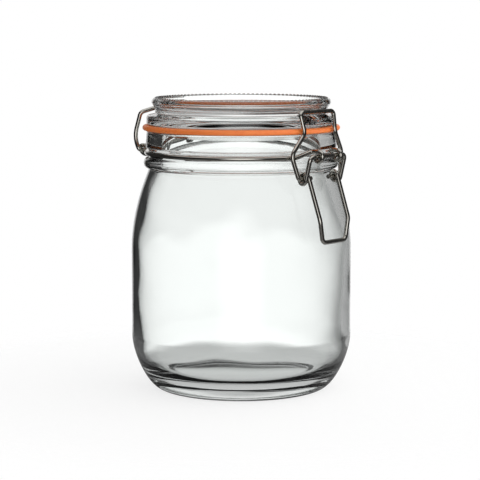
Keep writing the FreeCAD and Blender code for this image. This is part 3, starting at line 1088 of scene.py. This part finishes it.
@dataclass
class Studio:
    """A pale floor, soft light from all round and the camera, sizes in metres.

    Clear glass shows its surroundings, so rays seen through it, turned back by it, mirrored
    and scattered each meet their own soft gradient. A span holds where a gradient starts and
    ends.
    """

    distance: float = 0.86
    azimuth_deg: float = -50.0
    eye_height: float = 0.1767
    aim_height: float = 0.0711
    aim_across: float = -0.0006
    lens_mm: float = 134.0
    sensor_mm: float = 36.0
    clip_start: float = 0.01
    # The floor
    floor_radius: float = 0.21
    floor_sides: int = 96
    floor_drop: float = 0.0002
    floor_end: Point = (0.13, 0.20)
    # Painted shadow of the jar on the floor, seen only through the glass: its grey, where it fades
    # out, its grey for rays that the glass turned back, where it darkens for them, and how much
    # farther they reach
    shadow_grey_seen_through: float = 0.55
    shadow_end_seen_through: Point = (0.07, 0.105)
    shadow_grey_turned_back: float = 0.08
    shadow_span_turned_back: Point = (0.035, 0.055)
    shadow_reach_turned_back: float = 0.09
    paper: float = 0.9
    paper_in_gloss: float = 0.3
    paper_glow: float = 1.05
    paper_glow_share: float = 0.72
    # Seen through the glass
    backlight: float = 1.19
    backlight_top: float = 0.87
    backlight_span: Point = (-0.125, -0.08)
    wing: float = 0.5
    wing_across: Point = (0.03, 0.36)
    wing_along: Point = (0.6, 0.85)
    # Turned back by the glass
    turned_side: Point = (0.04, 0.5)
    turned_side_span: Point = (-0.14, 0.06)
    turned_top: float = 0.85
    turned_top_span: Point = (0.12, 0.4)
    turned_low: float = 0.8
    turned_low_span: Point = (-0.6, -0.4)
    # Mirrored and scattered
    gloss_dark: float = 0.03
    gloss_ahead_span: Point = (0.88, 0.97)
    gloss_key: float = 1.9
    gloss_key_span: Point = (-1.0, -0.86)
    gloss_top_span: Point = (0.55, 0.8)
    scattered: float = 0.97
    scattered_across: float = 0.75

    def forward(self) -> Vector:
        """The level direction in which the camera looks."""
        angle = math.radians(self.azimuth_deg)
        return Vector((-math.sin(angle), math.cos(angle), 0.0))

    def right(self) -> Vector:
        """The level direction to the camera's right."""
        forward = self.forward()
        return Vector((forward.y, -forward.x, 0.0))

    def camera(self) -> None:
        """Place the camera at the jar's front left, a little above its lid."""
        data = bpy.data.cameras.new("camera")
        data.lens = self.lens_mm
        data.sensor_width = self.sensor_mm
        data.clip_start = self.clip_start
        camera = bpy.data.objects.new("camera", data)
        bpy.context.scene.collection.objects.link(camera)
        camera.location = -self.forward() * self.distance + Vector((0, 0, self.eye_height))
        aim = Vector((0.0, 0.0, self.aim_height)) + self.right() * self.aim_across
        camera.rotation_mode = "QUATERNION"
        camera.rotation_quaternion = (aim - camera.location).to_track_quat("-Z", "Y")
        bpy.context.scene.camera = camera

    def floor(self) -> None:
        """A round of white board under the jar, which keeps a soft shadow."""
        count = self.floor_sides
        vertices = [(0.0, 0.0, 0.0)] + [
            (self.floor_radius * math.cos(math.tau * i / count),
             self.floor_radius * math.sin(math.tau * i / count), 0.0) for i in range(count)]
        faces = [(0, i + 1, (i + 1) % count + 1) for i in range(count)]
        mesh = bpy.data.meshes.new("floor")
        mesh.from_pydata(vertices, [], faces)
        board = bpy.data.objects.new("floor", mesh)
        bpy.context.scene.collection.objects.link(board)
        board.location.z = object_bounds()[0].z - self.floor_drop
        mesh.materials.append(self.white_board())
        board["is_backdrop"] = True

    def white_board(self) -> bpy.types.Material:
        """White paper that ends softly; seen through the glass it is smaller and carries a painted
        shadow, grey round the jar's foot.
        """
        material, tree, output = new_material("white board")
        path = add_node(tree, "ShaderNodeLightPath").outputs
        turned_back = maths(tree, "MINIMUM", path["Glossy Depth"], 1.0)
        place = add_node(tree, "ShaderNodeTexCoord").outputs["Object"]
        away = add_node(tree, "ShaderNodeVectorMath", {"operation": "LENGTH"},
                        {0: place}).outputs["Value"]
        # Painted shadow: rays through the glass see a grey emission round the jar's foot that fades to
        # clear; rays that the glass turned back see it reach farther and turn darker away from the
        # middle
        reach = maths(tree, "MULTIPLY_ADD", turned_back, -self.shadow_reach_turned_back, away)
        near = ramp(tree, reach, self.shadow_end_seen_through, (1.0, 0.0))
        below = ramp(tree, away, self.shadow_span_turned_back, (self.shadow_grey_seen_through, self.shadow_grey_turned_back))
        painted_shadow_shader = add_node(tree, "ShaderNodeEmission", inputs={
            "Color": WHITE, "Strength": mix(tree, turned_back, self.shadow_grey_seen_through, below)})
        clear = add_node(tree, "ShaderNodeBsdfTransparent")
        behind = mix_shader(tree, near, clear, painted_shadow_shader)
        paper = add_node(tree, "ShaderNodeBsdfDiffuse", inputs={
            "Color": mix(tree, path["Is Glossy Ray"], self.paper, self.paper_in_gloss)})
        glow = add_node(tree, "ShaderNodeEmission", inputs={
            "Color": WHITE, "Strength": self.paper_glow})
        share = maths(tree, "MULTIPLY", path["Is Camera Ray"], self.paper_glow_share)
        lit = mix_shader(tree, share, paper, glow)
        seen = mix_shader(tree, ramp(tree, away, self.floor_end, (1.0, 0.0)), clear, lit)
        surface = mix_shader(tree, path["Is Transmission Ray"], seen, behind)
        tree.links.new(surface.outputs[0], output.inputs["Surface"])
        return material

    def wall_light(self, tree: Tree, way: Way) -> Socket:
        """Light seen straight through the glass: bright, dimmer ahead to the right and above.

        Args:
            tree: The world's node tree.
            way: The ray's direction.

        Returns:
            The light's strength.
        """
        wing = maths(tree, "MULTIPLY", ramp(tree, way.across, self.wing_across, (0.0, 1.0)),
                     ramp(tree, way.along, self.wing_along, (0.0, 1.0)))
        lit = ramp(tree, way.up, self.backlight_span,
                   (self.backlight, self.backlight * self.backlight_top))
        return mix(tree, wing, lit, self.wing)

    def turned_light(self, tree: Tree, way: Way) -> Socket:
        """Light that the glass turns back: dark at the left, bright above and steeply below.

        Args:
            tree: The world's node tree.
            way: The ray's direction.

        Returns:
            The light's strength.
        """
        side = ramp(tree, way.across, self.turned_side_span, self.turned_side)
        top = ramp(tree, way.up, self.turned_top_span, (0.0, self.turned_top))
        low = ramp(tree, way.up, self.turned_low_span, (self.turned_low, 0.0))
        return maths(tree, "MAXIMUM", side, maths(tree, "MAXIMUM", top, low))

    def gloss_light(self, tree: Tree, way: Way) -> Socket:
        """Light that skins mirror: soft panels ahead, behind the camera and overhead, else dark.

        Args:
            tree: The world's node tree.
            way: The ray's direction.

        Returns:
            The light's strength.
        """
        ahead = ramp(tree, way.along, self.gloss_ahead_span, (0.0, 1.0))
        key = ramp(tree, way.along, self.gloss_key_span, (self.gloss_key, 0.0))
        overhead = ramp(tree, way.up, self.gloss_top_span, (0.0, 1.0))
        panels = maths(tree, "MAXIMUM", maths(tree, "MAXIMUM", ahead, key), overhead)
        return maths(tree, "MAXIMUM", panels, self.gloss_dark)

    def light(self) -> None:
        """Even white all round for the camera, and a gradient of its own for each other ray."""
        world = bpy.data.worlds.new("studio")
        bpy.context.scene.world = world
        world.use_nodes = True
        tree = world.node_tree
        tree.nodes.clear()
        path = add_node(tree, "ShaderNodeLightPath").outputs
        ray = add_node(tree, "ShaderNodeTexCoord").outputs["Generated"]
        along, across = [
            add_node(tree, "ShaderNodeVectorMath", {"operation": "DOT_PRODUCT"},
                     {0: ray, 1: tuple(direction)}).outputs["Value"]
            for direction in (self.forward(), self.right())]
        way = Way(along, across, add_node(tree, "ShaderNodeSeparateXYZ", inputs={0: ray}).outputs["Z"])
        turned_back = maths(tree, "MINIMUM", path["Glossy Depth"], 1.0)
        through = mix(tree, turned_back, self.wall_light(tree, way), self.turned_light(tree, way))
        scattered = maths(tree, "MULTIPLY_ADD", across, self.scattered_across, self.scattered)
        plain = mix(tree, path["Is Glossy Ray"], scattered, self.gloss_light(tree, way))
        seen = mix(tree, path["Is Transmission Ray"], plain, through)
        background = add_node(tree, "ShaderNodeBackground", inputs={
            "Color": WHITE, "Strength": mix(tree, path["Is Camera Ray"], seen, 1.0)})
        add_node(tree, "ShaderNodeOutputWorld", inputs={"Surface": background.outputs[0]})
        LOG.info("world built")

    def build(self) -> None:
        """Build the floor, the light and the camera."""
        bpy.context.scene.view_settings.view_transform = "Standard"
        self.floor()
        self.light()
        self.camera()


def clear_scene() -> None:
    """Remove what a new Blender file starts with."""
    for thing in list(bpy.data.objects):
        bpy.data.objects.remove(thing, do_unlink=True)


def main() -> None:
    """Build the jar's looks round the frame, piece by piece."""
    logging.basicConfig(level=logging.INFO, format="%(name)s: %(message)s")
    clear_scene()
    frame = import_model()
    Studio().build()
    glass = SodaLimeGlass("clear soda-lime glass")
    ring = SealingRing(NaturalRubber("orange natural rubber"))
    for part in (JarBody(glass), ring, GlassLid(glass)):
        piece = part.build()
        LOG.info("%s: %d faces", piece.name, len(piece.data.polygons))
    WireClosure(DrawnSteelWire("bright drawn steel wire"), frame["nodes"]).dress()
    LOG.info("wires dressed")


if __name__ == "__main__":
    main()
